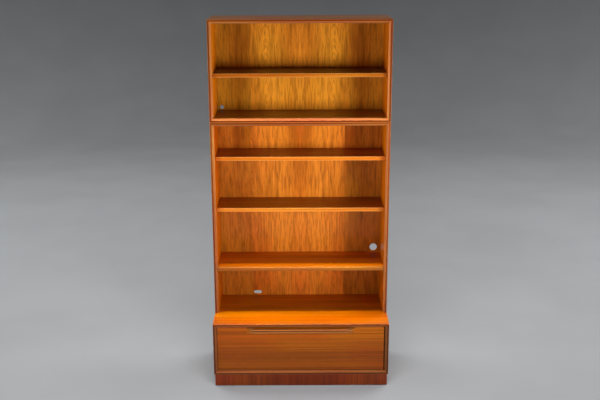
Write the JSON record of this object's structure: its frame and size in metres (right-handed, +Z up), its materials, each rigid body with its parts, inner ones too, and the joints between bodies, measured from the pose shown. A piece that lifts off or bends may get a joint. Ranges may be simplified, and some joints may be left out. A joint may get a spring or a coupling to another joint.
{
  "type": "bookcase with adjustable shelves",
  "caption": "Tall teak bookcase of stacked cases: a deep drawer base on a plinth and shallower open cases above with bevelled mitred fronts and adjustable shelves on hidden wires.",
  "frame": {"origin": "on the floor under the middle of the base cabinet's footprint, which is the whole object's bounding box", "axes": "+X to the right as seen from the front, +Y to the back, +Z up"},
  "size_m": [0.9, 0.432, 1.865],
  "materials": {
    "teak_carcass_veneer": "satin oiled teak veneer, fine straight grain",
    "teak_lipping": "satin oiled solid teak, bevelled, grain along the strip",
    "teak_back_veneer": "satin teak veneer with an upright cathedral figure on the front, plain pale veneer behind",
    "teak_shelf_veneer": "satin oiled teak veneer, grain along the shelf",
    "teak_front_veneer": "satin oiled teak veneer, fine grain across the front",
    "teak_pull": "carved solid teak, smooth satin",
    "plinth_teak": "dark red-brown teak veneer, upright grain, satin",
    "drawer_box": "pale solid beech, clear matt lacquer",
    "drawer_plywood": "plain plywood",
    "beech": "plain beech, waxed",
    "support_wire": "plain bright steel wire",
    "glide": "dull nickel-plated nail glide"
  },
  "bodies": {
    "cabinet": {"base_back_panel": "teak_back_veneer", "base_bottom": "teak_carcass_veneer", "base_lipping_bottom": "teak_lipping", "base_lipping_left": "teak_lipping", "base_lipping_right": "teak_lipping", "base_lipping_top": "teak_lipping", "base_side_left": "teak_carcass_veneer", "base_side_right": "teak_carcass_veneer", "base_top": "teak_carcass_veneer", "dowel_lower_left": "beech", "dowel_lower_right": "beech", "dowel_upper_left": "beech", "dowel_upper_right": "beech", "drawer_runner_left": "beech", "drawer_runner_right": "beech", "glide_front_left": "glide", "glide_front_right": "glide", "glide_rear_left": "glide", "glide_rear_right": "glide", "middle_back_panel": "teak_back_veneer", "middle_lipping_left": "teak_lipping", "middle_lipping_right": "teak_lipping", "middle_lipping_top": "teak_lipping", "middle_side_left": "teak_carcass_veneer", "middle_side_right": "teak_carcass_veneer", "middle_top": "teak_carcass_veneer", "plinth_front": "plinth_teak", "plinth_left": "plinth_teak", "plinth_right": "plinth_teak", "shelf_centre_wire_left": "support_wire", "shelf_centre_wire_right": "support_wire", "shelf_lower_wire_left": "support_wire", "shelf_lower_wire_right": "support_wire", "shelf_top_wire_left": "support_wire", "shelf_top_wire_right": "support_wire", "shelf_upper_wire_left": "support_wire", "shelf_upper_wire_right": "support_wire", "top_back_panel": "teak_back_veneer", "top_bottom": "teak_carcass_veneer", "top_lipping_bottom": "teak_lipping", "top_lipping_left": "teak_lipping", "top_lipping_right": "teak_lipping", "top_lipping_top": "teak_lipping", "top_side_left": "teak_carcass_veneer", "top_side_right": "teak_carcass_veneer", "top_top": "teak_carcass_veneer"},
    "drawer": {"drawer_back": "drawer_box", "drawer_bottom": "drawer_plywood", "drawer_front": "teak_front_veneer", "drawer_pull": "teak_pull", "drawer_side_left": "drawer_box", "drawer_side_right": "drawer_box"},
    "shelf_lower": {"shelf_lower_board": "teak_shelf_veneer", "shelf_lower_lipping": "teak_lipping"},
    "shelf_centre": {"shelf_centre_board": "teak_shelf_veneer", "shelf_centre_lipping": "teak_lipping"},
    "shelf_upper": {"shelf_upper_board": "teak_shelf_veneer", "shelf_upper_lipping": "teak_lipping"},
    "shelf_top": {"shelf_top_board": "teak_shelf_veneer", "shelf_top_lipping": "teak_lipping"}
  },
  "joints": [
    {"name": "drawer_slide", "type": "slide", "parent": "cabinet", "child": "drawer", "axis": [0, -1, 0], "range_m": [0, 0.3]},
    {"name": "shelf_lower_slide", "type": "slide", "parent": "cabinet", "child": "shelf_lower", "axis": [0, -1, 0], "range_m": [0, 0.27]},
    {"name": "shelf_centre_slide", "type": "slide", "parent": "cabinet", "child": "shelf_centre", "axis": [0, -1, 0], "range_m": [0, 0.27]},
    {"name": "shelf_upper_slide", "type": "slide", "parent": "cabinet", "child": "shelf_upper", "axis": [0, -1, 0], "range_m": [0, 0.27]},
    {"name": "shelf_top_slide", "type": "slide", "parent": "cabinet", "child": "shelf_top", "axis": [0, -1, 0], "range_m": [0, 0.27]}
  ]
}
